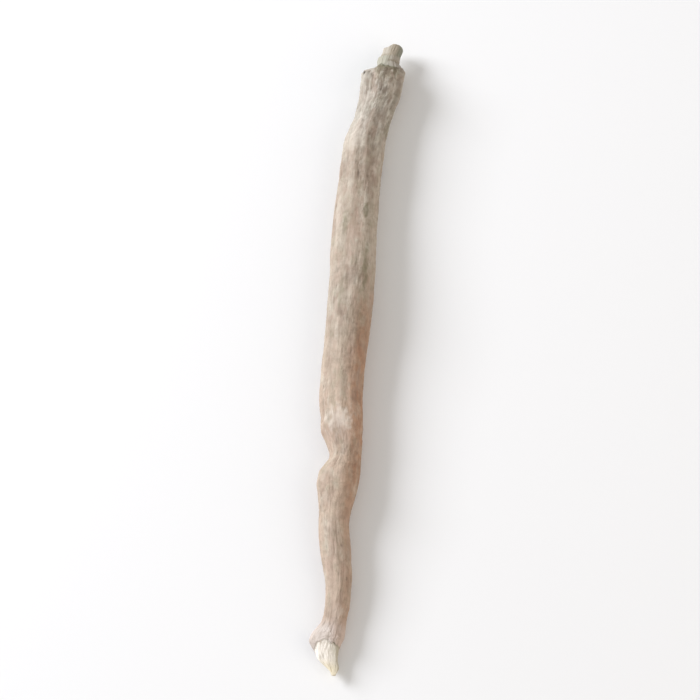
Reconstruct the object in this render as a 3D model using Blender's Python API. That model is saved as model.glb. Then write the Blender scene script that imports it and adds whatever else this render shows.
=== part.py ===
"""One dried root, lying on its side: a long, slightly bowed length of wrinkled bark-covered root.

The crown end carries the peeled stump of the stem inside a collar of bark. The other end was
snapped off beside a side root, and its pale wood runs out into a thin torn tongue. The root grew
as one piece, so it is one solid. Its length runs along Y with the crown at +Y, X is to the right
seen from above, Z is up, and the origin is on the surface it rests on, below the middle.
"""
import bisect
import math

import bmesh
import bpy
from mathutils import Vector, noise

MM = 0.001

# Every length below is in millimetres, and distances run from the torn tip towards the crown.
ROOT_LENGTH = 130.8
BARK_ENDS_AT = 6.8
SHOULDER_AT = 124.4
SHOULDER_HALF_WIDTH = 4.15
HEIGHT_TO_WIDTH = 0.95

# Outline seen from above: distance, middle to the right of the tip, half width
OUTLINE = (
    (0.0, 0.0, 0.3),
    (0.7, 0.0, 0.75),
    (1.4, -0.2, 1.2),
    (2.4, -1.0, 1.7),
    (3.6, -1.35, 1.9),
    (5.8, -1.2, 2.05),
    (7.0, -0.9, 2.4),
    (11.5, -0.8, 2.37),
    (16.6, -0.4, 2.42),
    (24.5, -1.65, 2.95),
    (30.7, -2.65, 2.85),
    (38.8, -2.55, 4.0),
    (44.5, -1.8, 3.27),
    (50.5, -2.75, 3.95),
    (57.0, -3.55, 4.2),
    (65.0, -3.7, 4.18),
    (78.0, -3.5, 4.47),
    (90.0, -3.9, 4.42),
    (102.0, -3.9, 4.15),
    (109.0, -3.7, 4.05),
    (114.3, -2.7, 3.72),
    (120.2, -1.5, 4.05),
    (SHOULDER_AT, -1.2, SHOULDER_HALF_WIDTH),
    (125.2, -1.0, 3.7),
    (125.8, -0.75, 2.95),
    (127.4, -0.55, 2.3),
    (128.6, -0.3, 2.08),
    (129.3, 0.15, 1.8),
    (130.1, 0.2, 1.87),
    (ROOT_LENGTH, 0.05, 1.72),
)

# Height of the middle of the section above the floor: the low places rest on it
MIDDLE_HEIGHT = (
    (0.0, 2.2),
    (8.0, 2.08),
    (20.0, 2.9),
    (36.0, 3.85),
    (55.0, 3.74),
    (76.0, 4.55),
    (97.0, 3.8),
    (112.0, 4.1),
    (121.5, 3.66),
    (ROOT_LENGTH, 3.5),
)

# Torn face of the tip: distance, its height above the middle of the section
TORN_FACE = (
    (0.0, 0.3),
    (1.5, 0.4),
    (4.0, 1.0),
    (6.2, 1.75),
    (BARK_ENDS_AT, 2.4),
)

# Side-root scars and knots: distance, angle up from the right, half length, half width, height
KNOTS = (
    (7.4, 178, 3.4, 2.7, 1.9),
    (28.0, 318, 2.2, 1.6, 0.5),
    (47.0, 62, 2.6, 1.8, 0.3),
    (61.5, 205, 2.6, 1.9, 0.55),
    (70.0, 330, 2.0, 1.6, 0.35),
    (84.0, 228, 2.2, 1.7, 0.5),
    (105.0, 322, 2.8, 2.1, 0.6),
    (116.5, 214, 2.4, 1.8, 0.45),
)

# Lengthwise ridges: how many round the root, height, turn per millimetre, starting angle
RIDGES = (
    (5, 0.07, 0.03, 0.4),
    (9, 0.09, -0.021, 1.9),
)
ROUGH_CROWN_FROM = 88.0
ROUGH_CROWN_GAIN = 1.6
LUMP_HEIGHT = 0.2
LUMP_WIDTH = 1.5
LUMP_LENGTH = 5.0
STUMP_SMOOTHNESS = 0.8

LIP_HEIGHT = 0.6
LIP_REACH = 2.2
STUMP_FROM = 126.5
STUMP_STEP = 0.75
STUMP_STEP_AT = -0.35
STUMP_STEP_WIDTH = 0.7

SIDES = 40
TIP_STEP = 0.5
BODY_STEP = 1.5
CROWN_STEP = 0.4
CROWN_RINGS_FROM = 122.8
CAP_RINGS = (0.66, 0.33)

BARK_COLOUR = (0.61, 0.51, 0.39, 1.0)
BARK_ROUGHNESS = 0.85


def clear_scene():
    for item in list(bpy.data.objects):
        bpy.data.objects.remove(item, do_unlink=True)


def ease(low, high, value):
    """Rise smoothly from 0 at low to 1 at high."""
    part = min(max((value - low) / (high - low), 0.0), 1.0)
    return part * part * (3.0 - 2.0 * part)


def slope_at(points, index, column):
    """Slope of the curve at a point, flat where the column turns, so that it never overshoots."""
    if index in (0, len(points) - 1):
        return 0.0
    before, here, after = points[index - 1:index + 2]
    left = (here[column] - before[column]) / (here[0] - before[0])
    right = (after[column] - here[column]) / (after[0] - here[0])
    if left * right <= 0.0:
        return 0.0
    return 2.0 * left * right / (left + right)


def along(points, distance, column=1):
    """Read a column of the points at a distance from the tip, on a smooth curve through them."""
    places = [point[0] for point in points]
    index = min(max(bisect.bisect_right(places, distance) - 1, 0), len(points) - 2)
    start, end = points[index], points[index + 1]
    span = end[0] - start[0]
    part = min(max((distance - start[0]) / span, 0.0), 1.0)
    rise = ease(0.0, 1.0, part)
    leave = part * (1.0 - part) ** 2 * span * slope_at(points, index, column)
    arrive = part ** 2 * (part - 1.0) * span * slope_at(points, index + 1, column)
    return start[column] + rise * (end[column] - start[column]) + leave + arrive


def ring_distances():
    """Where the rings of the mesh lie: close together at both worked ends."""
    stretches = (
        (0.0, BARK_ENDS_AT, TIP_STEP),
        (BARK_ENDS_AT, CROWN_RINGS_FROM, BODY_STEP),
        (CROWN_RINGS_FROM, ROOT_LENGTH, CROWN_STEP),
    )
    distances = [0.0]
    for start, end, step in stretches:
        count = round((end - start) / step)
        distances += [start + (end - start) * (i + 1) / count for i in range(count)]
    return distances


def knot_relief(distance, angle, radius):
    """Height of the knots and side-root scars over the bark."""
    height = 0.0
    for place, degrees, half_length, half_width, rise in KNOTS:
        turn = math.remainder(angle - math.radians(degrees), math.tau)
        reach = math.hypot((distance - place) / half_length, turn * radius / half_width)
        height += rise * (1.0 - ease(0.0, 1.0, reach))
    return height


def bark_relief(distance, angle, radius):
    """Ridges and lumps of the bark, stronger towards the crown and gone at the bare ends."""
    ridges = sum(height * math.cos(count * (angle + turn * distance) + start)
                 for count, height, turn, start in RIDGES)
    lump_at = Vector((radius * math.cos(angle) / LUMP_WIDTH,
                      radius * math.sin(angle) / LUMP_WIDTH, distance / LUMP_LENGTH))
    lumps = LUMP_HEIGHT * noise.noise(lump_at)
    roughness = 1.0 + ROUGH_CROWN_GAIN * ease(ROUGH_CROWN_FROM, SHOULDER_AT, distance)
    covered = ease(0.0, BARK_ENDS_AT, distance)
    covered -= STUMP_SMOOTHNESS * ease(SHOULDER_AT, STUMP_FROM, distance)
    return (ridges + lumps) * roughness * covered * radius / SHOULDER_HALF_WIDTH


def surface_point(distance, angle, share):
    """Place of a point: share is 1 on the side of the root and less inside an end face."""
    half_width = along(OUTLINE, distance, 2)
    radius = half_width + bark_relief(distance, angle, half_width)
    radius += knot_relief(distance, angle, half_width)
    aside = radius * share * math.cos(angle)
    up = radius * share * math.sin(angle) * HEIGHT_TO_WIDTH
    if distance < BARK_ENDS_AT:
        up = min(up, along(TORN_FACE, distance))
    lip = LIP_HEIGHT * max(0.0, math.cos(angle)) ** 2
    lip *= 1.0 - ease(0.0, LIP_REACH, abs(distance - SHOULDER_AT))
    drop = STUMP_STEP * ease(STUMP_FROM, ROOT_LENGTH, distance)
    drop *= 1.0 - ease(STUMP_STEP_AT - STUMP_STEP_WIDTH, STUMP_STEP_AT + STUMP_STEP_WIDTH, aside)
    x = along(OUTLINE, distance, 1) + aside
    z = max(along(MIDDLE_HEIGHT, distance) + up, 0.0)
    return Vector((x, distance + lip - drop, z)) * MM


def straight_blank(ring_count):
    """A closed straight rod of unit radius and unit ring spacing along Z, with ringed end faces."""
    rod = bmesh.new()
    bmesh.ops.create_cone(rod, cap_ends=True, segments=SIDES, radius1=1.0, radius2=1.0,
                          depth=ring_count - 1)
    bmesh.ops.translate(rod, verts=rod.verts, vec=(0.0, 0.0, (ring_count - 1) / 2))
    lengthwise = [edge for edge in rod.edges if abs(edge.verts[0].co.z - edge.verts[1].co.z) > 0.5]
    bmesh.ops.subdivide_edges(rod, edges=lengthwise, cuts=ring_count - 2)
    for end_face in [face for face in rod.faces if len(face.verts) == SIDES]:
        outer = 1.0
        for inner in CAP_RINGS:
            bmesh.ops.inset_region(rod, faces=[end_face], thickness=outer - inner)
            outer = inner
        bmesh.ops.poke(rod, faces=[end_face])
    return rod


def make_root():
    distances = ring_distances()
    body = straight_blank(len(distances))
    for vertex in body.verts:
        distance = distances[round(vertex.co.z)]
        share = min(math.hypot(vertex.co.x, vertex.co.y), 1.0)
        angle = math.atan2(vertex.co.y, vertex.co.x)
        vertex.co = surface_point(distance, angle, share)
    low = Vector([min(vertex.co[axis] for vertex in body.verts) for axis in range(3)])
    high = Vector([max(vertex.co[axis] for vertex in body.verts) for axis in range(3)])
    middle = (low + high) / 2
    bmesh.ops.translate(body, verts=body.verts, vec=(-middle.x, -middle.y, 0.0))
    bmesh.ops.triangulate(body, faces=body.faces)
    bmesh.ops.recalc_face_normals(body, faces=body.faces)
    mesh = bpy.data.meshes.new("root")
    body.to_mesh(mesh)
    body.free()
    mesh.shade_smooth()
    root = bpy.data.objects.new("root", mesh)
    bpy.context.collection.objects.link(root)
    return root


def bark_material():
    material = bpy.data.materials.new("root_bark")
    material.use_nodes = True
    shader = material.node_tree.nodes["Principled BSDF"]
    shader.inputs["Base Color"].default_value = BARK_COLOUR
    shader.inputs["Roughness"].default_value = BARK_ROUGHNESS
    shader.inputs["Metallic"].default_value = 0.0
    return material


clear_scene()
root_object = make_root()
root_object.data.materials.append(bark_material())
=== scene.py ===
# %% [markdown]
# # Dressing a dried root
#
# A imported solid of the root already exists. It has the right length, bends and thickness, but its
# sides are flat facets and it is all one colour. This lesson puts a skin on it: wrinkled bark, the
# peeled stump of the stem at the crown, and pale splintered wood where the tip was torn off.
#
# The first step only loads that solid. It is never moved, because everything is measured from it.

# %% Load the measured root
import math
import random

import bmesh
import bpy
import numpy as np
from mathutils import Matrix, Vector, noise
from mathutils.bvhtree import BVHTree


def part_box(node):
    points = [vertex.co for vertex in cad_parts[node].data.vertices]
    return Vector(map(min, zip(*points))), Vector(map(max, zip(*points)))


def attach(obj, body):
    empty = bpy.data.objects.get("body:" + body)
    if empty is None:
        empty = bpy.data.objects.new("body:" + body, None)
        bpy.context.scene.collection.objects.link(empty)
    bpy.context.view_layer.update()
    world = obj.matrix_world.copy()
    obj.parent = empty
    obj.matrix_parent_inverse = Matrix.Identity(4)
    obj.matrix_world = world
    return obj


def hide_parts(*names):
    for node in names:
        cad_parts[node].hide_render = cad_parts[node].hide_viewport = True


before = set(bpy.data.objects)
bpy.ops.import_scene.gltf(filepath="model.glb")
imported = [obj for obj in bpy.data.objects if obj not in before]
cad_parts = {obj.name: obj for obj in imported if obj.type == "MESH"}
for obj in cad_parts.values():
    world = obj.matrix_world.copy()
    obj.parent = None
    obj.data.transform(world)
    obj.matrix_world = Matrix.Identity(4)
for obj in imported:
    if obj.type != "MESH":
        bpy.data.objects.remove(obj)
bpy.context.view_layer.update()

MM = 0.001
low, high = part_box("root")
length = (high.y - low.y) / MM
print(f"the root is {length:.1f} mm long and {(high.x - low.x) / MM:.1f} mm across its bends")

# %% [markdown]
# ## A copy to measure
#
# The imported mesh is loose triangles, so a copy of it is merged first. A bounding volume tree then
# finds in an instant where a ray meets the surface, which is how the new skin learns the root's
# exact shape at any place. Shrinkwrap could do the same job, but rays also say how far each place
# is from the middle, and the wrinkles need that.

# %% Merge a copy and build the ray tree
MERGE_GAP = 0.001 * MM

solid = bmesh.new()
solid.from_mesh(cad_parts["root"].data)
bmesh.ops.remove_doubles(solid, verts=solid.verts, dist=MERGE_GAP)
ray_tree = BVHTree.FromBMesh(solid)
corners = np.array([corner.co for corner in solid.verts]) / MM
corners[:, 1] -= low.y / MM
solid.free()
print("measured copy has", len(corners), "corners")

# %% [markdown]
# ## The middle line
#
# A root isn't straight, so its wrinkles must follow its own middle and not the world's Y axis. The
# middle of the section at a distance from the tip is the mean of the solid's corners near there.
# Reading it every few millimetres and smoothing it leaves out the pull of single knots.

# %% Find the middle line
MIDDLE_STEP = 1.5
MIDDLE_WINDOW = 0.9

middle_places = np.arange(0.0, length + MIDDLE_STEP / 2, length / round(length / MIDDLE_STEP))
middle_line = np.array([corners[abs(corners[:, 1] - place) < MIDDLE_WINDOW].mean(axis=0)
                        for place in middle_places])
for smoothing in range(2):
    middle_line[1:-1] = (middle_line[:-2] + 2 * middle_line[1:-1] + middle_line[2:]) / 4


def middle_at(distance):
    """Place of the middle, in millimetres across and up, at a distance from the tip."""
    return (np.interp(distance, middle_places, middle_line[:, 0]),
            np.interp(distance, middle_places, middle_line[:, 2]))


print("the middle wanders", round(float(np.ptp(middle_line[:, 0])), 1), "mm sideways")

# %% [markdown]
# ## Where the rings lie
#
# The skin is a tube of rings and sides. Wrinkles run lengthwise, so the tube has many sides and its
# rings can lie a third of a millimetre apart, but the edges where the bark ends need them closer.
# Equal rings all the way would spend most of the faces where nothing happens.

# %% Space the rings
SIDES = 180
TIP_EDGE = 6.0
CROWN_EDGE = 125.2
STUMP_FROM = 126.5
END_GAP = 0.03
STRETCHES = (
    (END_GAP, 3.0, 0.13),
    (3.0, 8.0, 0.1),
    (8.0, 122.5, 0.32),
    (122.5, 127.2, 0.085),
    (127.2, length - END_GAP, 0.12),
)

rings = [END_GAP]
for start, end, spacing in STRETCHES:
    count = round((end - start) / spacing)
    rings += [start + (end - start) * (i + 1) / count for i in range(count)]
rings = np.array(rings)
angles = np.arange(SIDES) * math.tau / SIDES
print(len(rings), "rings of", SIDES, "sides,", len(rings) * SIDES * 2, "triangles")

# %% [markdown]
# ## Ragged bark edges
#
# Bark never ends in a neat circle. At the torn tip it stops early on top and runs on underneath, and
# at the crown it stands up in a lip on the right. Each ring is therefore slid along the root by an
# amount that depends on the angle, so that one ring runs exactly along each ragged edge. The slide
# fades out a few millimetres away. Angles are counted up from the root's right side, in degrees in
# the lists and in radians everywhere else.

# %% Slide the rings to follow the bark edges
TIP_EDGE_PLACES = (
    # angle up from the right, distance from the tip at which the bark ends
    (0, 6.0), (50, 5.9), (75, 6.2), (110, 6.7), (140, 5.9), (165, 4.9),
    (190, 4.2), (225, 3.0), (270, 2.4), (320, 3.8), (360, 6.0),
)
CROWN_EDGE_PLACES = (
    (0, 125.9), (25, 125.8), (55, 125.0), (85, 125.1), (130, 126.1),
    (165, 125.4), (230, 125.2), (300, 125.5), (360, 125.9),
)
TIP_SLIDE_ENDS = 15.0
CROWN_SLIDE_FROM = 119.0
CROWN_SLIDE_ENDS = 128.5
TIP_RAGGED = 0.3
CROWN_RAGGED = 0.2
RAGGED_LOBES = 3.5
TEARS = 2.6


def ease(low_end, high_end, value):
    """Rise smoothly from 0 at one value to 1 at another, for numbers and for arrays."""
    part = np.clip((value - low_end) / (high_end - low_end), 0.0, 1.0)
    return part * part * (3.0 - 2.0 * part)


def ragged(angle, seed):
    """Uneven, torn wave round the root, from about -1 to 1, that closes on itself."""
    place = Vector((math.cos(angle), math.sin(angle), 0.0)) * RAGGED_LOBES
    tear = abs(noise.noise(place * TEARS + Vector((0.0, 0.0, seed + 4.0))))
    return noise.fractal(place + Vector((0.0, 0.0, seed)), 0.7, 2.0, 5) + 1.4 * tear - 0.3


def edge_line(places, raggedness, seed):
    """Distance from the tip at which the bark ends, at each angle."""
    return np.array([np.interp(math.degrees(angle), *zip(*places))
                     + raggedness * ragged(angle, seed) for angle in angles])


tip_edge = edge_line(TIP_EDGE_PLACES, TIP_RAGGED, 3.1)
crown_edge = edge_line(CROWN_EDGE_PLACES, CROWN_RAGGED, 8.6)
tip_pull = ease(0.0, TIP_EDGE, rings) * (1 - ease(TIP_EDGE, TIP_SLIDE_ENDS, rings))
crown_pull = (ease(CROWN_SLIDE_FROM, CROWN_EDGE, rings)
              * (1 - ease(CROWN_EDGE, CROWN_SLIDE_ENDS, rings)))
distance = (rings[:, None] + tip_pull[:, None] * (tip_edge - TIP_EDGE)
            + crown_pull[:, None] * (crown_edge - CROWN_EDGE))
print("bark ends from", round(tip_edge.min(), 1), "to", round(tip_edge.max(), 1), "mm from the tip")

# %% [markdown]
# ## Reading the shape
#
# From each place on the grid a ray comes straight in towards the middle line and stops at the solid.
# The stump's top was cut in a step, so the last rings are first stretched to end where the cut face
# lies at that angle, found by rays that come in along the root.

# %% Cast rays onto the solid
REACH = 0.02
RIM_BELOW_TOP = 1.2
RIM_SHARE = 0.93


def radius_at(place, angle):
    """Distance in millimetres from the middle line to the skin, or None past the end."""
    across, up = middle_at(place)
    outward = Vector((math.cos(angle), 0.0, math.sin(angle)))
    middle = Vector((across * MM, low.y + place * MM, up * MM))
    hit = ray_tree.ray_cast(middle + outward * REACH, -outward, REACH)[0]
    return None if hit is None else (hit - middle).length / MM


def end_face_at(across, up):
    """Distance from the tip of the crown's cut face, at a place across and up in millimetres."""
    start = Vector((across * MM, high.y + REACH / 2, up * MM))
    hit = ray_tree.ray_cast(start, Vector((0.0, -1.0, 0.0)), REACH)[0]
    return None if hit is None else (hit.y - low.y) / MM


stump_across, stump_up = middle_at(length - RIM_BELOW_TOP)
rim_radius = [radius_at(length - RIM_BELOW_TOP, angle) * RIM_SHARE for angle in angles]
cut_face = np.array([end_face_at(stump_across + reach * math.cos(angle),
                                 stump_up + reach * math.sin(angle))
                     for angle, reach in zip(angles, rim_radius)])
stretch = np.clip((rings - STUMP_FROM) / (length - END_GAP - STUMP_FROM), 0.0, 1.0)[:, None]
distance += stretch * (cut_face - END_GAP - (length - END_GAP))

radius = np.zeros(distance.shape)
for i in range(len(rings)):
    for j in range(SIDES):
        found = radius_at(distance[i, j], angles[j])
        radius[i, j] = radius[i - 1, j] if found is None else found
print("thickest radius", round(radius.max(), 2), "mm, at", round(rings[radius.max(axis=1).argmax()], 1))

# %% [markdown]
# ## Taking the facets out
#
# The rays copied the solid's facets too. A few passes that mix each value with its neighbours melt
# the facets away, and the root keeps its bends and knots, which are much larger.

# %% Smooth the radii
ROUND_PASSES = 8
LENGTH_PASSES = 18


def mixed(values, axis):
    """Mix each value with its two neighbours, and leave the end rings as they are."""
    if axis == 1:
        return (np.roll(values, 1, 1) + 2 * values + np.roll(values, -1, 1)) / 4
    inner = (values[:-2] + 2 * values[1:-1] + values[2:]) / 4
    return np.vstack((values[:1], inner, values[-1:]))


smooth_radius = radius
for step in range(LENGTH_PASSES):
    smooth_radius = mixed(smooth_radius, 0)
    if step < ROUND_PASSES:
        smooth_radius = mixed(smooth_radius, 1)
across_middle, up_middle = middle_at(distance)
skin = np.stack((across_middle + smooth_radius * np.cos(angles), distance,
                 up_middle + smooth_radius * np.sin(angles)), axis=2)
print("largest change by smoothing", round(float(abs(smooth_radius - radius).max()), 2), "mm")

# %% [markdown]
# ## A finer outline
#
# Smoothing also rounds off what should stay crisp, such as the shoulder of the crown, the top of the
# knob and the waist. The two sides of the outline are therefore trimmed by a few tenths of a
# millimetre, from a short list. The trim fades out towards the top and the underside. The crown's
# left shoulder is also let down a little, because it is the lowest part of the rim.

# %% Trim both sides of the outline
RIGHT = 0.0
TOP = math.pi / 2
LEFT = math.pi
SIDE_TRIM = (
    # distance from the tip, added on the left, added on the right
    (0.0, 0.05, 0.1), (1.1, 0.08, 0.12), (2.4, 0.15, 0.2), (3.8, 0.48, 0.12), (5.1, 0.68, 0.0),
    (6.5, 0.55, -0.25), (7.8, 0.4, 0.0), (9.1, 0.05, 0.0), (10.2, -0.25, 0.0), (11.8, -0.26, 0.0),
    (13.2, -0.2, 0.1), (15.0, 0.0, 0.0), (17.0, 0.2, -0.1), (26.0, 0.15, 0.0), (31.0, 0.05, 0.15),
    (36.0, 0.1, 0.0), (37.3, 0.22, 0.0), (38.7, 0.2, 0.0), (40.0, 0.16, 0.0), (41.3, -0.22, 0.0),
    (42.6, -0.66, 0.0), (44.0, -0.38, 0.0), (45.3, 0.15, 0.0), (46.7, 0.5, 0.0), (48.0, 0.85, 0.05),
    (49.3, 0.65, 0.1), (50.7, 0.3, 0.0), (52.0, 0.3, 0.0), (53.3, 0.25, 0.0), (54.6, 0.15, 0.0),
    (56.0, 0.1, 0.0), (62.0, -0.15, 0.2), (66.0, -0.18, 0.28), (73.0, 0.0, 0.22), (79.0, 0.1, -0.15),
    (84.0, 0.18, 0.0), (96.0, 0.0, 0.0), (108.4, 0.0, 0.1), (111.1, -0.4, 0.28), (113.8, -0.65, 0.1),
    (116.5, -0.28, -0.12), (119.2, 0.0, -0.05), (121.0, 0.3, 0.0), (124.5, 0.42, 0.15),
    (125.1, 0.1, 0.2), (125.9, -0.9, 0.3), (127.2, 0.0, 0.15), (128.6, 0.4, 0.17),
    (129.9, 0.22, 0.38), (130.8, 0.2, 0.35),
)
SHOULDER_AT = 125.0
SHOULDER_ANGLE = 2.6
SHOULDER_DROP = 0.7


def facing(angle, low_end, high_end):
    """Strength of each side of the root: 1 if it faces the angle, 0 if it faces well away."""
    return ease(low_end, high_end, np.cos(angles - angle))


trim_places, trim_left, trim_right = zip(*SIDE_TRIM)
leftward = np.maximum(-np.cos(angles), 0.0)
rightward = np.maximum(np.cos(angles), 0.0)
skin[:, :, 0] += (rightward * np.interp(distance, trim_places, trim_right)
                  - leftward * np.interp(distance, trim_places, trim_left))
shoulder = np.exp(-(distance - SHOULDER_AT) ** 2) * facing(SHOULDER_ANGLE, 0.8, 0.97)
skin[:, :, 1] -= SHOULDER_DROP * shoulder
print("outline trimmed by up to", max(map(abs, trim_left)), "mm")

# %% [markdown]
# ## Which way is out
#
# Wrinkles are pushed in or out at right angles to the skin. On a grid that direction comes from the
# two lines that cross at each point: one along the root and one round it. In a tight inner corner,
# such as the foot of the stump, neighbours would be pushed through each other, so the directions
# are mixed with their neighbours too.

# %% Outward directions
DIRECTION_PASSES = 30
BODY = slice(50, -60)

along_root = np.gradient(skin, axis=0)
round_root = np.roll(skin, -1, axis=1) - np.roll(skin, 1, axis=1)
outward = np.cross(along_root, round_root)
outward /= np.linalg.norm(outward, axis=2, keepdims=True)
for step in range(DIRECTION_PASSES):
    outward = mixed(mixed(outward, 0), 1)
outward /= np.linalg.norm(outward, axis=2, keepdims=True)
from_middle = np.stack((np.cos(angles), 0 * angles, np.sin(angles)), axis=1)
if (outward[len(rings) // 2] * from_middle).sum() < 0:
    outward = -outward
print("outward directions agree:", bool((outward[BODY] * from_middle).sum(axis=2).min() > 0))

# %% [markdown]
# ## Noise that runs with the grain
#
# Bark shrinks as it dries, and it shrinks more round the root than along it, so its wrinkles are
# long and narrow. The noise is read in the root's own space, round the middle line and along it,
# with a different cell size each way. Because the space goes round in a circle, no seam shows. Bare
# wood has a space of its own: its fibres run straight on through the torn tip, and up the stump.

# %% Grain space and noise
STUMP_RADIUS = 2.1

ring_radius = smooth_radius.mean(axis=1, keepdims=True)
grain = np.stack((ring_radius * np.cos(angles), ring_radius * np.sin(angles), distance), axis=2)
fibre_radius = np.where(distance < length / 2, smooth_radius, STUMP_RADIUS)
fibre_grain = np.stack((fibre_radius * np.cos(angles), fibre_radius * np.sin(angles), distance), axis=2)


def field(across, along, octaves, seed, space=grain):
    """Noise over the skin with cells of the given size in millimetres, from about -1 to 1."""
    cells = space / (across, across, along) + (seed * 7.3, seed * 3.1, seed * 11.7)
    values = [noise.fractal(Vector(cell), 1.0, 2.0, octaves) for cell in cells.reshape(-1, 3)]
    return np.array(values).reshape(distance.shape)


def line_of(values, width):
    """Thin lines, 1 deep, wherever the values cross zero."""
    return np.exp(-(values / width) ** 2)


rough = ease(92.0, 121.0, distance)
bark = ease(-0.1, 0.0, rings - TIP_EDGE) * ease(-0.1, 0.0, CROWN_EDGE - rings)
bark = bark[:, None] * np.ones(SIDES)
print("bark covers", round(float(bark.mean()) * 100), "per cent of the grid")

# %% [markdown]
# ## Wrinkles, furrows and cracks
#
# Old bark shows several sizes of relief at once. Broad soft folds come first, then narrow sharp
# wrinkles in patches, faint rings across, and near the crown deep furrows that break the bark into
# small plates. Each is one noise field with its own cell size and depth in millimetres.

# %% Press the wrinkles into the bark
FOLDS = (
    # cell across, cell along, octaves, seed, depth
    (1.9, 9.0, 2, 1, 0.06),
    (0.6, 4.0, 3, 2, 0.03),
    (1.0, 1.3, 3, 18, 0.035),
)
CROWN_LUMPS = 0.06
FLAKE_DEPTH = 0.05


def at_least(share, strength):
    """Lift a strength from 0 to 1 so that it never falls below a share."""
    return share + (1 - share) * strength


relief = sum(depth * field(across, along, octaves, seed)
             for across, along, octaves, seed, depth in FOLDS)
relief += CROWN_LUMPS * rough * field(0.9, 1.2, 3, 9)
patches = ease(-0.25, 0.25, field(3.5, 11.0, 2, 4))
fine_patches = ease(-0.3, 0.2, field(2.5, 9.0, 2, 15))
cross_patches = ease(-0.1, 0.35, field(3.0, 6.0, 2, 6))
line_layers = (
    # cell across, cell along, octaves, seed, line width, depth, where they lie
    (0.9, 6.0, 2, 3, 0.15, 0.07, patches),
    (0.55, 3.5, 2, 13, 0.2, 0.035, fine_patches),
    (2.6, 0.9, 2, 5, 0.12, 0.08, cross_patches),
    (1.4, 2.4, 3, 7, 0.15, 0.07, rough),
    (1.6, 1.2, 2, 8, 0.1, 0.07, rough),
)
for across, along, octaves, seed, width, depth, where in line_layers:
    relief -= depth * line_of(field(across, along, octaves, seed), width) * where
flakes = ease(0.14, 0.17, field(2.0, 5.0, 4, 10)) * at_least(0.35, patches)
relief -= FLAKE_DEPTH * flakes
print("bark relief from", round(float(relief.min()), 2), "to", round(float(relief.max()), 2), "mm")

# %% [markdown]
# ## Scars, breathing pores and pits
#
# Side roots leave round scars with a raised rim and a sunken middle. Small raised bars across the
# bark are its breathing pores, and grit has left tiny pits, a little longer along the grain. They
# are scattered by a seeded random generator, so that every run gives the same root. The scars'
# sunken middles and the pits are also painted darker, as painted shade.

# %% Add scars, pores and pits
SCARS = (
    # distance from the tip, angle up from the right, size, rim height, hollow depth
    (28.0, 318, 1.3, 0.12, 0.3),
    (61.5, 205, 1.5, 0.12, 0.35),
    (70.0, 330, 1.1, 0.1, 0.25),
    (84.0, 228, 1.3, 0.12, 0.3),
    (105.0, 322, 1.5, 0.15, 0.35),
    (116.5, 214, 1.3, 0.15, 0.3),
    (123.7, 149, 1.1, 0.06, 0.4),
)
RIM_AT = 0.8
RIM_WIDTH = 0.3
HOLLOW_REACH = 0.5
DARK_REACH = 0.55
PORE_COUNT = 80
PORE_SPAN = (9, 122)
PORE_HALF_LENGTHS = (0.12, 0.25)
PORE_HALF_WIDTHS = (0.3, 0.9)
PORE_HEIGHTS = (0.02, 0.06)
PIT_COUNT = 110
PIT_SPAN = (8, 124)
PIT_SIZES = (0.1, 0.22)
PIT_STRETCH = (1.2, 4.0)
PIT_DEPTHS = (0.02, 0.07)
PIT_DARKNESS = (0.1, 0.5)
ALL_ROUND = (0, math.tau)
draw = random.Random(11)


def turn_from(angle):
    """How far each side is turned from an angle, up to half a turn either way."""
    return (angles - angle + math.pi) % math.tau - math.pi


def reach_from(place, angle, half_length, half_width):
    """Distance of every point from a mark, 1 at the mark's edge."""
    return np.hypot((distance - place) / half_length, turn_from(angle) * ring_radius / half_width)


marks = np.zeros(distance.shape)
# painted shade: darker in the sunken middles of scars and in pits
pit_shade_marks = np.zeros(distance.shape)
for place, degrees, size, rim, hollow in SCARS:
    reach = reach_from(place, math.radians(degrees), size, size)
    marks += rim * np.exp(-((reach - RIM_AT) / RIM_WIDTH) ** 2)
    marks -= hollow * np.exp(-(reach / HOLLOW_REACH) ** 2)
    pit_shade_marks = np.maximum(pit_shade_marks, np.exp(-(reach / DARK_REACH) ** 2))
for pore in range(PORE_COUNT):
    reach = reach_from(draw.uniform(*PORE_SPAN), draw.uniform(*ALL_ROUND),
                       draw.uniform(*PORE_HALF_LENGTHS), draw.uniform(*PORE_HALF_WIDTHS))
    marks += draw.uniform(*PORE_HEIGHTS) * np.exp(-reach ** 2)
for pit in range(PIT_COUNT):
    size = draw.uniform(*PIT_SIZES)
    reach = reach_from(draw.uniform(*PIT_SPAN), draw.uniform(*ALL_ROUND),
                       size * draw.uniform(*PIT_STRETCH), size)
    marks -= draw.uniform(*PIT_DEPTHS) * np.exp(-reach ** 2)
    pit_shade_marks = np.maximum(pit_shade_marks, draw.uniform(*PIT_DARKNESS) * np.exp(-reach ** 2))
relief += marks
print(len(SCARS), "scars,", PORE_COUNT, "pores and", PIT_COUNT, "pits")

# %% [markdown]
# ## Where earth and lichen stained it
#
# The crown sat at the surface of the soil, so most of the stains are there: dark blotches, and
# greenish ones where lichen grew. Where the bark was rubbed it is pale. Each mark is a soft oval
# whose edge is broken up by noise, so that it looks soaked in and not painted on.

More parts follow.
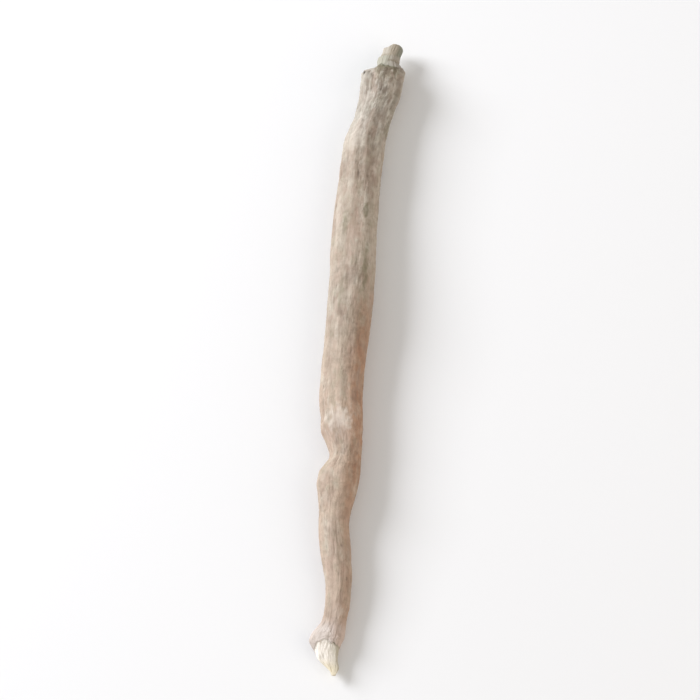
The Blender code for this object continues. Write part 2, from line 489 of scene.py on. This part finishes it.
# %% Lay the spots
BLOTCHES = (
    # distance from the tip, angle up from the right, half length, half width, strength
    (123.8, 78, 1.7, 2.2, 1.0),
    (103.0, 130, 5.0, 3.5, 0.22),
    (110.0, 74, 15.0, 2.8, 0.2),
    (79.0, 86, 2.4, 1.8, 0.5),
    (11.8, 150, 2.0, 1.5, 0.25),
    (62.5, 120, 7.0, 1.6, 0.2),
    (119.7, 74, 1.6, 1.5, 1.0),
    (120.0, 117, 0.7, 0.45, 0.7),
    (118.9, 131, 0.8, 0.45, 0.6),
    (117.9, 93, 1.3, 0.5, 0.8),
    (120.5, 20, 3.6, 0.7, 0.6),
    (119.5, 150, 4.5, 1.8, 0.38),
    (114.5, 48, 2.6, 1.2, 0.7),
    (112.0, 84, 1.6, 0.6, 0.5),
    (109.8, 66, 1.3, 1.0, 0.9),
    (107.4, 58, 1.2, 0.9, 0.8),
    (104.0, 88, 2.5, 0.5, 0.5),
    (101.5, 66, 3.0, 0.6, 0.5),
    (94.0, 122, 0.8, 0.5, 0.5),
    (86.5, 158, 0.8, 0.6, 0.55),
    (79.5, 58, 1.2, 0.9, 0.4),
    (72.0, 113, 1.0, 0.8, 0.5),
    (70.8, 100, 0.7, 0.5, 0.45),
    (71.8, 62, 0.9, 0.4, 0.5),
    (67.3, 105, 0.3, 2.4, 0.35),
    (74.6, 84, 0.3, 2.0, 0.3),
    (112.0, 250, 2.5, 1.5, 0.7),
    (98.0, 300, 2.0, 1.0, 0.5),
    (60.0, 262, 2.0, 1.2, 0.5),
)
PALE_PLACES = (
    (50.2, 100, 3.4, 2.8, 1.0),
    (11.8, 74, 1.7, 1.5, 0.6),
    (110.0, 125, 5.0, 2.0, 0.5),
    (118.5, 112, 2.5, 1.0, 0.6),
    (92.0, 150, 4.0, 1.4, 0.5),
)
GREEN_PLACES = (
    (81.0, 54, 6.5, 0.8, 0.7),
    (93.5, 62, 2.5, 0.7, 0.7),
    (90.5, 118, 2.4, 0.9, 0.5),
    (76.0, 120, 3.0, 1.2, 0.4),
    (112.5, 20, 3.0, 1.0, 0.5),
)
broken_edge = field(0.7, 1.3, 4, 14)


def marked(places):
    """Soft ovals with broken edges, as a strength from 0 to 1 at every point."""
    strengths = np.zeros(distance.shape)
    for place, degrees, half_length, half_width, strength in places:
        reach = reach_from(place, math.radians(degrees), half_length, half_width)
        soaked = ease(0.0, 1.0, 1.15 - reach + 0.8 * broken_edge)
        strengths = np.maximum(strengths, strength * soaked)
    return strengths


blotched = marked(BLOTCHES)
pale = marked(PALE_PLACES)
olive = marked(GREEN_PLACES)
print("blotches cover", round(float((blotched > 0.5).mean()) * 100, 1), "per cent")

# %% [markdown]
# ## Marks that run along a side
#
# Other marks run along a whole side of the root, so each one is a product: how far the side faces
# an angle, times how far along the root the mark reaches. At the crown the upper right is mottled
# darker and the left keeps fewer patches, an olive band lies under the rim, and a thin dark line
# just under the rim is painted shade. Lower down, the right side is painted warmer and darker, as
# painted shade with warm bounced light. The torn end is rubbed nearly clean, and on top, about two
# thirds of the way to the crown, the outer bark has peeled from a patch.

# %% Lay the marks and the painted shade that run along a side
CROWN_DARK_ANGLE = 1.0
CROWN_DARK_TURN = 0.35
CROWN_DARK_STRENGTH = 0.75
OLIVE_ANGLE = TOP - 0.25
OLIVE_REACH = 2.9
OLIVE_STRENGTH = 1.2
RIM_LINE_ANGLE = 1.95
RIM_LINE_AT = 0.05
RIM_LINE_WIDTH = 0.3
# distance from the tip, angle, half length, half width
PEELED_PATCH = (90.0, math.radians(88), 3.4, 1.6)

# the crown is mottled darker on its upper right
crown_dark_angle = CROWN_DARK_ANGLE + CROWN_DARK_TURN * ease(116.0, 122.0, distance)
crown_dark_side = facing(crown_dark_angle, 0.35, 0.95) * ease(102.0, 116.0, distance)
blotched = np.maximum(blotched, CROWN_DARK_STRENGTH * crown_dark_side * ease(-0.25, 0.3, broken_edge))
under_rim = (CROWN_EDGE - rings)[:, None]
olive_band = OLIVE_STRENGTH * np.exp(-(under_rim / OLIVE_REACH) ** 2) * facing(OLIVE_ANGLE, 0.6, 0.95)
olive = np.maximum(olive, olive_band * ease(-0.7, 0.1, broken_edge))
# painted shade: a thin dark line just under the crown's bark rim
rim_shade_line = (np.exp(-((under_rim - RIM_LINE_AT) / RIM_LINE_WIDTH) ** 2)
            * facing(RIM_LINE_ANGLE, 0.35, 0.75))
# painted shade: the lower right side is painted warmer and darker, for warm bounced light in shade
warm_right_shade = facing(RIGHT, -0.1, 0.75) * (1 - ease(66.0, 86.0, distance))
warm_right_shade = warm_right_shade * at_least(0.5, ease(22.0, 46.0, distance))
warm_right_shade = warm_right_shade * at_least(0.6, ease(-0.5, 0.3, field(1.4, 2.6, 4, 16)))
# patches fade on the left of the crown and towards the torn tip
left_patch_fade = facing(LEFT, 0.1, 0.8) * ease(100.0, 112.0, distance)
patch_strength = at_least(0.3, ease(7.0, 20.0, distance)) * (1 - 0.4 * left_patch_fade)
peeled = ease(0.0, 0.5, 1.1 - reach_from(*PEELED_PATCH) + 0.9 * broken_edge)
flakes = np.maximum(0.7 * flakes, peeled)
print("stains cover", round(float((np.maximum(blotched, olive) > 0.5).mean()) * 100, 1), "per cent")

# %% [markdown]
# ## Bare wood and the bark's edge
#
# Where the bark is gone the wood is smoother, but it is torn into long fibres. At its edge the bark
# stands a little proud of the wood, with a dark gap under it. The relief therefore steps down by
# the bark's thickness at each edge ring, and a narrow groove runs along it.

# %% Step down to the bare wood
BARK_THICKNESS = 0.16
GAP_DEPTH = 0.2
GAP_WIDTH = 0.12
FIBRE_DEPTH = 0.06
ARC_FADE = 0.8
CALM_TIP = 0.8
STUMP_RINGS = (
    # distance from the tip, depth, half width, middle of its arc, how far round it reaches
    (128.4, 0.34, 0.2, 175, 1.0),
    (127.0, 0.26, 0.22, 5, 0.9),
)

splits = line_of(field(0.5, 6.0, 2, 21, fibre_grain), 0.14)
fibres = FIBRE_DEPTH * (field(0.3, 5.0, 3, 20, fibre_grain) - splits)
past_tip_edge = (TIP_EDGE - rings)[:, None]
past_crown_edge = (rings - CROWN_EDGE)[:, None]
open_gap = ease(-0.5, 0.4, field(1.2, 40.0, 2, 23))
tip_gap = open_gap * at_least(0.15, facing(RIGHT, -0.1, 0.5))
crown_gap = open_gap * at_least(0.3, facing(LEFT, -0.6, 0.3))
wood = fibres - BARK_THICKNESS
for past_edge, gap in ((past_tip_edge, tip_gap), (past_crown_edge, crown_gap)):
    wood = wood - GAP_DEPTH * gap * np.exp(-((past_edge - GAP_WIDTH) / GAP_WIDTH) ** 2)
notches = np.zeros(distance.shape)
for place, depth, half_width, degrees, arc in STUMP_RINGS:
    round_arc = 1 - ease(arc, arc + ARC_FADE, abs(turn_from(math.radians(degrees))))
    notches += depth * np.exp(-((distance - place) / half_width) ** 2) * round_arc
wood = wood - notches
surface = bark * relief + (1 - bark) * wood
surface *= at_least(0.1, ease(0.0, CALM_TIP, rings))[:, None]
skin = skin + outward * surface[:, :, None]
print("wood steps down", BARK_THICKNESS, "mm behind the bark")

# %% [markdown]
# ## Building the mesh
#
# A cone operator with two equal ends makes a straight rod, and subdividing its long edges gives it
# every ring at once. Its two end faces are inset a few times and poked, so that the cut face of the
# stump can carry cracks too. Then each vertex is moved to its place on the skin. Moving the points
# of a made mesh keeps it closed, which stitching a list of faces by hand wouldn't promise.

# %% Make the rod and its end faces
CAP_SHARES = (0.93, 0.85, 0.76, 0.66, 0.56, 0.46, 0.36, 0.26, 0.17, 0.09)


def straight_rod(ring_count):
    """A closed rod of unit radius along Z with a ring at every whole number."""
    rod = bmesh.new()
    bmesh.ops.create_cone(rod, cap_ends=True, segments=SIDES, radius1=1.0, radius2=1.0,
                          depth=ring_count - 1)
    bmesh.ops.translate(rod, verts=rod.verts, vec=(0.0, 0.0, (ring_count - 1) / 2))
    lengthwise = [edge for edge in rod.edges if abs(edge.verts[0].co.z - edge.verts[1].co.z) > 0.5]
    bmesh.ops.subdivide_edges(rod, edges=lengthwise, cuts=ring_count - 2)
    for end_face in [face for face in rod.faces if len(face.verts) == SIDES]:
        outer = 1.0
        for inner in CAP_SHARES:
            bmesh.ops.inset_region(rod, faces=[end_face], thickness=outer - inner)
            outer = inner
        bmesh.ops.poke(rod, faces=[end_face])
    return rod


rod = straight_rod(len(rings))
print("rod has", len(rod.verts), "points and", len(rod.faces), "faces")

# %% [markdown]
# ## Placing every point
#
# A point on the rod's side goes to its grid place. A point inside an end face goes part of the way
# from the middle to the rim, and at the crown a ray finds the cut face there. Small radial cracks
# and a sunken pith are pressed in. Each point also remembers its ring and its side, so that the
# values worked out on the grid can be handed to it afterwards. Moving the points leaves old
# directions behind in the mesh, so these are worked out afresh before the faces are turned outward.

# %% Move the points onto the root
CUT_CRACKS = 7
CRACK_WIDTH = 0.16
CRACK_DEPTH = 0.1
PITH_SHARE = 0.16
PITH_DEPTH = 0.2
CUT_ROUGHNESS = 0.05
CUT_SUNK = 0.02
HOLLOW_DEPTH = 0.2

last = len(rings) - 1
last_middle = [float(skin[last, :, axis].mean()) for axis in (0, 2)]
# how deep each place lies below the bark or the wood; the colours use it for painted shade in furrows,
# gaps and cracks
level = (1 - bark) * -BARK_THICKNESS
hollow = np.clip((level - surface) / HOLLOW_DEPTH, 0.0, 1.0)
ring_of, side_of, share_of = [], [], []


def cut_face_relief(share, angle):
    """Cracks and pith of the cut end, in millimetres."""
    cracks = line_of(math.sin(CUT_CRACKS * angle / 2 + 1.3 * ragged(angle, 5.0)), CRACK_WIDTH)
    pith = math.exp(-(share / PITH_SHARE) ** 2)
    place = Vector((share * math.cos(angle), share * math.sin(angle), 0.0)) * 3
    return CUT_ROUGHNESS * noise.noise(place) - CRACK_DEPTH * cracks * share - PITH_DEPTH * pith


for vertex in rod.verts:
    i = round(vertex.co.z)
    angle = math.atan2(vertex.co.y, vertex.co.x) % math.tau
    j = round(angle / math.tau * SIDES) % SIDES
    share = min(math.hypot(vertex.co.x, vertex.co.y), 1.0)
    share = 1.0 if share > 0.99 else share
    point = Vector(skin[i, j])
    if share < 1.0 and i == last:
        point.x = last_middle[0] + share * (point.x - last_middle[0])
        point.z = last_middle[1] + share * (point.z - last_middle[1])
        face = end_face_at(point.x, point.z)
        point.y = (face or point.y) - CUT_SUNK + (1 - share ** 8) * cut_face_relief(share, angle)
    elif share < 1.0:
        middle = Vector([float(skin[i, :, axis].mean()) for axis in range(3)])
        point = middle + share * (point - middle)
    place = Vector((point.x * MM, low.y + point.y * MM, point.z * MM))
    vertex.co = [min(max(place[axis], low[axis]), high[axis]) for axis in range(3)]
    ring_of.append(i)
    side_of.append(j)
    share_of.append(share)

rod.normal_update()
bmesh.ops.recalc_face_normals(rod, faces=rod.faces)
print("placed", len(rod.verts), "points")

# %% [markdown]
# ## One object
#
# The mesh becomes an object at the origin, with its place in its points, and its values become
# attributes that a material can read by name.

# %% Turn the mesh into the dried root
skin_mesh = bpy.data.meshes.new("dried_root")
rod.to_mesh(skin_mesh)
rod.free()
skin_mesh.shade_smooth()
dried_root = bpy.data.objects.new("dried_root", skin_mesh)
bpy.context.scene.collection.objects.link(dried_root)


def keep_values(name, values, kind="FLOAT", field_name="value"):
    """Store one value for each point, under a name that materials can read."""
    attribute = skin_mesh.attributes.new(name, kind, "POINT")
    attribute.data.foreach_set(field_name, np.array(values, dtype=np.float32).ravel())


at_points = (np.array(ring_of), np.array(side_of))
shares = np.array(share_of)
fibre_places = fibre_grain[at_points]
fibre_places[:, :2] *= shares[:, None]
keep_values("grain", grain[at_points], "FLOAT_VECTOR", "vector")
keep_values("fibre", fibre_places, "FLOAT_VECTOR", "vector")
keep_values("bare", 1 - bark[at_points])
keep_values("hollow", hollow[at_points])
keep_values("rim_shade_line", rim_shade_line[at_points])
keep_values("cut_end", (shares < 1.0) * (at_points[0] == last))
for name, layer in (("pit_shade", pit_shade_marks), ("flaked", flakes), ("blotch", blotched), ("olive", olive),
                    ("pale", pale), ("warm_right_shade", warm_right_shade), ("patch_strength", patch_strength)):
    keep_values(name, (layer * bark)[at_points])
print("dried_root has", sum(len(face.vertices) - 2 for face in skin_mesh.polygons), "triangles")

# %% [markdown]
# ## Small helpers for materials
#
# A procedural material is a chain of nodes, and small helpers keep the chains short to read. They
# read a stored value, multiply two values, blend two colours, stretch a range of values, and turn
# a colour as seen on a screen into the values that Blender mixes.

# %% Node helpers
def add_node(tree, kind, **settings):
    """Add a node and set its choices."""
    node = tree.nodes.new(kind)
    for setting, value in settings.items():
        setattr(node, setting, value)
    return node


def read_value(tree, name, output="Fac"):
    """A value that was stored at every point of the mesh."""
    return add_node(tree, "ShaderNodeAttribute", attribute_name=name).outputs[output]


def feed(tree, value, socket):
    """Link one socket to another, or write a fixed value on it."""
    if isinstance(value, bpy.types.NodeSocket):
        tree.links.new(value, socket)
    else:
        socket.default_value = value


def product(tree, first, second):
    """Multiply two numbers."""
    node = add_node(tree, "ShaderNodeMath", operation="MULTIPLY")
    feed(tree, first, node.inputs[0])
    feed(tree, second, node.inputs[1])
    return node.outputs["Value"]


def blend(tree, share, first, second, how="MIX"):
    """Blend two colours by a share of the second one."""
    node = add_node(tree, "ShaderNodeMix", data_type="RGBA", blend_type=how)
    feed(tree, share, node.inputs["Factor"])
    feed(tree, first, node.inputs[6])
    feed(tree, second, node.inputs[7])
    return node.outputs[2]


def ramp(tree, value, low_end, high_end, low_value=0.0, high_value=1.0):
    """Stretch a value so that one range becomes another, eased at both ends."""
    node = add_node(tree, "ShaderNodeMapRange", interpolation_type="SMOOTHSTEP")
    node.inputs["From Min"].default_value = low_end
    node.inputs["From Max"].default_value = high_end
    node.inputs["To Min"].default_value = low_value
    node.inputs["To Max"].default_value = high_value
    tree.links.new(value, node.inputs["Value"])
    return node.outputs["Result"]


def colour(red, green, blue):
    """A colour as seen on a screen, 0 to 255, as the linear values that Blender mixes."""
    parts = [part / 255 for part in (red, green, blue)]
    return tuple(p / 12.92 if p < 0.04045 else ((p + 0.055) / 1.055) ** 2.4 for p in parts) + (1.0,)


print("buff bark is", [round(part, 2) for part in colour(200, 185, 162)])

# %% [markdown]
# ## Noise for materials
#
# Colours and fine relief run with the grain as well, so their noise is read at the place that was
# stored for each point, divided by the cell size each way. Where the noise passes its middle value,
# a rising ramp times a falling one leaves a thin line.

# %% Noise helpers
def grain_noise(tree, across, along, detail=3.0, seed=0.0, roughness=0.55, space="grain"):
    """Noise with cells of the given size in millimetres, across and along the root."""
    mapping = add_node(tree, "ShaderNodeMapping")
    mapping.inputs["Scale"].default_value = (1 / across, 1 / across, 1 / along)
    mapping.inputs["Location"].default_value = (seed, seed * 1.7, seed * 2.3)
    tree.links.new(read_value(tree, space, "Vector"), mapping.inputs["Vector"])
    texture = add_node(tree, "ShaderNodeTexNoise")
    texture.inputs["Scale"].default_value = 1.0
    texture.inputs["Detail"].default_value = detail
    texture.inputs["Roughness"].default_value = roughness
    tree.links.new(mapping.outputs["Vector"], texture.inputs["Vector"])
    return texture.outputs["Fac"]


def thin_lines(tree, across, along, width, seed):
    """Thin lines, 1 in the middle, that wander along the grain."""
    value = grain_noise(tree, across, along, 3.0, seed)
    rise = ramp(tree, value, 0.5 - width, 0.5)
    fall = ramp(tree, value, 0.5, 0.5 + width, 1.0, 0.0)
    return product(tree, rise, fall)


print("noise can follow the bark's grain or the wood's fibres")

# %% [markdown]
# ## The bark's colours
#
# Dried bark is buff, but never one buff. The lower part is a warmer tan, the middle is buff and the
# crown is a pale grey. Over that come patches a few millimetres wide, cream, brown, pinkish and
# greenish, a warmer and darker lower right that is painted shade, thin dark crease lines that are
# painted shade too, then the marks laid before, with painted shade in the furrows and pits. Each
# patch is noise with a soft threshold, so no two look the same.

# %% Mix the bark's colours
TIP_BARK = (217, 205, 195)
BARK_STRETCHES = (
    # distance from the tip: from, to, then the colour past it
    (8.6, 11.5, (194, 174, 155)),
    (20, 34, (198, 178, 158)),
    (52, 76, (188, 175, 158)),
    (103, 116, (200, 194, 181)),
)
PATCHES = (
    # cell across, cell along, seed, from, to, strength, colour
    (2.2, 4.5, 22, 0.48, 0.66, 0.45, (206, 200, 184)),
    (2.2, 3.2, 12, 0.47, 0.66, 0.4, (166, 144, 126)),
    (1.8, 3.0, 61, 0.5, 0.66, 0.32, (186, 158, 142)),
    (2.2, 3.2, 71, 0.52, 0.68, 0.35, (160, 156, 132)),
    (1.2, 1.1, 33, 0.42, 0.68, 0.36, (150, 136, 120)),
    (0.35, 5.0, 3, 0.42, 0.64, 0.13, (156, 136, 116)),
)
MARKS = (
    # stored value, strength, colour
    ("pale", 0.7, (220, 208, 194)),
    ("flaked", 0.45, (180, 154, 138)),
    ("olive", 0.86, (119, 116, 89)),
    ("blotch", 0.68, (118, 104, 91)),
    # painted shade in furrows and hollows
    ("hollow", 0.42, (116, 101, 87)),
    # painted shade in pits and in the middles of scars
    ("pit_shade", 0.92, (60, 55, 48)),
)
WARM_SHADE_TINT = (234, 205, 188)
# cell across, cell along, line width, seed
CREASE = (0.7, 6.0, 0.03, 52)
CREASE_SHADE_TINT = (122, 104, 86)
SPECK_TINT = (126, 112, 96)


def bark_colours(tree):
    """The colour of the bark, from its base to the marks on top."""
    place = add_node(tree, "ShaderNodeSeparateXYZ")
    tree.links.new(read_value(tree, "grain", "Vector"), place.inputs["Vector"])
    from_tip = place.outputs["Z"]
    base = colour(*TIP_BARK)
    for start, end, tint in BARK_STRETCHES:
        base = blend(tree, ramp(tree, from_tip, start, end), base, colour(*tint))
    patch_strength = read_value(tree, "patch_strength")
    for across, along, seed, low_end, high_end, strength, tint in PATCHES:
        cells = grain_noise(tree, across, along, 4, seed)
        patch = ramp(tree, cells, low_end, high_end, 0.0, strength)
        base = blend(tree, product(tree, patch, patch_strength), base, colour(*tint))
    # painted shade: warmer and darker on the lower right side
    base = blend(tree, read_value(tree, "warm_right_shade"), base, colour(*WARM_SHADE_TINT), "MULTIPLY")
    # painted shade: thin dark crease lines that stand for fine furrows
    creases = product(tree, thin_lines(tree, *CREASE), 0.25)
    base = blend(tree, creases, base, colour(*CREASE_SHADE_TINT))
    specks = ramp(tree, grain_noise(tree, 0.22, 0.35, 3, 41), 0.6, 0.72, 0.0, 0.4)
    base = blend(tree, specks, base, colour(*SPECK_TINT))
    for name, strength, tint in MARKS:
        base = blend(tree, product(tree, read_value(tree, name), strength), base, colour(*tint))
    return base


print(len(PATCHES), "kinds of patch and", len(MARKS), "kinds of mark")

# %% [markdown]
# ## The wood's colours
#
# Torn wood is nearly white at the tip, with a yellow cast on its thin tongue, and the older peeled
# stump at the crown has weathered to a greyish cream. Both are painted darker on the right, away
# from the lamp, as painted shade, and the knob's right edge is painted darkest. Fibres give them
# fine streaks, and on the cut face the streaks are coarser. Their hollows are painted darker too,
# as painted shade.

# %% Mix the wood's colours
TONGUE_TINT = (242, 230, 202)
TORN_TINT = (250, 242, 230)
TORN_SHADED_TINT = (190, 182, 162)
CONE_TINT = (174, 171, 155)
CONE_SHADED_TINT = (170, 162, 150)
KNOB_TINT = (190, 182, 168)
KNOB_SHADED_TINT = (166, 155, 138)
KNOB_SHADED_EDGE_TINT = (140, 141, 128)
FIBRE_TINT = (180, 164, 132)
HOLLOW_SHADE_TINT = (136, 124, 102)
CUT_TINT = (196, 184, 156)
SPOKE_TINT = (150, 134, 108)


def wood_colours(tree):
    """The colour of the bare wood: torn tip, cone and knob of the stump, and cut face."""
    place = add_node(tree, "ShaderNodeSeparateXYZ")
    tree.links.new(read_value(tree, "fibre", "Vector"), place.inputs["Vector"])
    from_tip, to_right = place.outputs["Z"], place.outputs["X"]
    torn = blend(tree, ramp(tree, from_tip, 1.2, 3.4), colour(*TONGUE_TINT), colour(*TORN_TINT))
    # painted shade: each wood colour darkens towards the right, away from the lamp
    torn = blend(tree, ramp(tree, to_right, -0.7, 1.9), torn, colour(*TORN_SHADED_TINT))
    cone = blend(tree, ramp(tree, to_right, -0.8, 1.4), colour(*CONE_TINT), colour(*CONE_SHADED_TINT))
    knob = blend(tree, ramp(tree, to_right, -1.2, 0.6), colour(*KNOB_TINT), colour(*KNOB_SHADED_TINT))
    knob = blend(tree, ramp(tree, to_right, 0.9, 1.9), knob, colour(*KNOB_SHADED_EDGE_TINT))
    stump = blend(tree, ramp(tree, from_tip, 127.8, 128.6), cone, knob)
    base = blend(tree, ramp(tree, from_tip, 20, 40), torn, stump)
    fibres = ramp(tree, grain_noise(tree, 0.16, 5.0, 3, 5, space="fibre"), 0.45, 0.68)
    base = blend(tree, product(tree, fibres, 0.18), base, colour(*FIBRE_TINT))
    # painted shade in the wood's hollows and in the gap under the bark
    base = blend(tree, product(tree, read_value(tree, "hollow"), 0.4), base, colour(*HOLLOW_SHADE_TINT))
    spokes = ramp(tree, grain_noise(tree, 0.3, 30.0, 2, 9, space="fibre"), 0.45, 0.6)
    cut = blend(tree, product(tree, spokes, 0.5), colour(*CUT_TINT), colour(*SPOKE_TINT))
    return blend(tree, read_value(tree, "cut_end"), base, cut)


print("wood colours run from", TORN_TINT, "at the tip to", KNOB_SHADED_EDGE_TINT, "at the knob's edge")

# %% [markdown]
# ## One skin, two finishes
#
# Bark and wood are one grown thing, so one material holds both and the stored "bare" value chooses.
# Fine grain that is too small for the mesh is a bump. The whole root is dull and dusty, but not
# evenly, so its roughness varies too.

# %% Build the root's material
BUMP_DEPTH = 0.09 * MM
ROUGHEST = 0.95
SMOOTHEST = 0.72
# cell across, cell along, line width, seed
FINE_CREASE = (0.7, 9.0, 0.03, 52)
RIM_SHADE_TINT = (122, 122, 102)
BLACK = (0.0, 0.0, 0.0, 1.0)


def skin_height(tree, bare):
    """Fine grain for the bump: wrinkled on the bark, and straight fibres on the wood."""
    long_grain = grain_noise(tree, 0.2, 2.0, 5, 2, 0.65)
    round_grain = grain_noise(tree, 0.12, 0.18, 3, 8, 0.6)
    bark_grain = blend(tree, 0.5, long_grain, round_grain)
    creases = product(tree, thin_lines(tree, *FINE_CREASE), 0.5)
    bark_grain = blend(tree, creases, bark_grain, BLACK)
    wood_grain = grain_noise(tree, 0.14, 4.0, 4, 6, 0.6, space="fibre")
    return blend(tree, bare, bark_grain, wood_grain)


def root_material():
    """One material for bark and wood, chosen by the stored value."""
    material = bpy.data.materials.new("root_bark_and_wood")
    material.use_nodes = True
    tree = material.node_tree
    shader = tree.nodes["Principled BSDF"]
    shader.inputs["Metallic"].default_value = 0.0
    shader.inputs["Specular IOR Level"].default_value = 0.3
    bare = read_value(tree, "bare")
    skin_colour = blend(tree, bare, bark_colours(tree), wood_colours(tree))
    # painted shade: the dark line under the crown's bark rim
    rim_share = product(tree, read_value(tree, "rim_shade_line"), 0.75)
    skin_colour = blend(tree, rim_share, skin_colour, colour(*RIM_SHADE_TINT))
    tree.links.new(skin_colour, shader.inputs["Base Color"])
    dust = grain_noise(tree, 0.8, 2.5, 3, 17)
    tree.links.new(ramp(tree, dust, 0.3, 0.7, SMOOTHEST, ROUGHEST), shader.inputs["Roughness"])
    bump = add_node(tree, "ShaderNodeBump")
    bump.inputs["Strength"].default_value = 1.0
    bump.inputs["Distance"].default_value = BUMP_DEPTH
    tree.links.new(skin_height(tree, bare), bump.inputs["Height"])
    tree.links.new(bump.outputs["Normal"], shader.inputs["Normal"])
    return material


skin_mesh.materials.append(root_material())
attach(dried_root, "root")
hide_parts("root")
print("material has", len(skin_mesh.materials[0].node_tree.nodes), "nodes")

# %% [markdown]
# ## Floor and light
#
# The root rests on a plain pale floor. A large soft lamp stands to the upper left, as daylight
# from a window would. A weaker, warmer lamp on the right and a plain white sky fill the shaded side.

# %% Lay the floor and hang the lamps
FLOOR_SIZE = 3.0
FLOOR_COLOUR = (0.85, 0.85, 0.84, 1.0)
LAMPS = (
    # name, place in metres, size, power, tint
    ("window", (-0.7, 0.24, 0.42), 0.42, 8.0, (0.98, 1.0, 1.07)),
    ("fill", (0.65, -0.2, 0.45), 0.8, 2.2, (1.0, 0.87, 0.76)),
)
SKY_COLOUR = (1.0, 1.0, 1.0, 1.0)
SKY_STRENGTH = 0.5

floor_shape = bmesh.new()
bmesh.ops.create_grid(floor_shape, x_segments=1, y_segments=1, size=FLOOR_SIZE / 2)
floor_mesh = bpy.data.meshes.new("floor")
floor_shape.to_mesh(floor_mesh)
floor_shape.free()
floor = bpy.data.objects.new("floor", floor_mesh)
bpy.context.scene.collection.objects.link(floor)
floor_material = bpy.data.materials.new("pale_floor")
floor_material.use_nodes = True
floor_shader = floor_material.node_tree.nodes["Principled BSDF"]
floor_shader.inputs["Base Color"].default_value = FLOOR_COLOUR
floor_shader.inputs["Roughness"].default_value = 0.9
floor_mesh.materials.append(floor_material)


def area_lamp(name, place, size, power, tint):
    """A square lamp that faces the root's middle."""
    lamp = bpy.data.lights.new(name, "AREA")
    lamp.size = size
    lamp.energy = power
    lamp.color = tint
    holder = bpy.data.objects.new(name, lamp)
    holder.location = place
    holder.rotation_euler = (-Vector(place)).to_track_quat("-Z", "Y").to_euler()
    bpy.context.scene.collection.objects.link(holder)


for name, place, size, power, tint in LAMPS:
    area_lamp(name, place, size, power, tint)
world = bpy.data.worlds.new("studio")
world.use_nodes = True
sky = world.node_tree.nodes["Background"]
sky.inputs["Color"].default_value = SKY_COLOUR
sky.inputs["Strength"].default_value = SKY_STRENGTH
bpy.context.scene.world = world
bpy.context.scene.view_settings.view_transform = "Standard"
print(len(LAMPS), "lamps and a white sky")

# %% [markdown]
# ## The camera
#
# A root that lies down is seen from above, turned a few degrees so that its crown leans a little to
# the right. A long lens from some way off keeps its thickness true from end to end.

# %% Place the camera
AZIMUTH = 5.1
ELEVATION = 70.0
LENS = 250.0
SENSOR = 36.0
FILL = 0.9

seen_length = (high.y - low.y) * math.sin(math.radians(ELEVATION))
camera_distance = seen_length / FILL * LENS / SENSOR
turn, rise = math.radians(AZIMUTH), math.radians(ELEVATION)
back = Vector((math.sin(turn) * math.cos(rise), -math.cos(turn) * math.cos(rise), math.sin(rise)))
target = (low + high) / 2
camera_data = bpy.data.cameras.new("camera")
camera_data.lens = LENS
camera_data.sensor_width = SENSOR
camera_data.clip_start = 0.01
camera = bpy.data.objects.new("camera", camera_data)
camera.location = target + back * camera_distance
camera.rotation_euler = (-back).to_track_quat("-Z", "Y").to_euler()
bpy.context.scene.collection.objects.link(camera)
bpy.context.scene.camera = camera
print("camera is", round(camera_distance, 3), "m from the root")
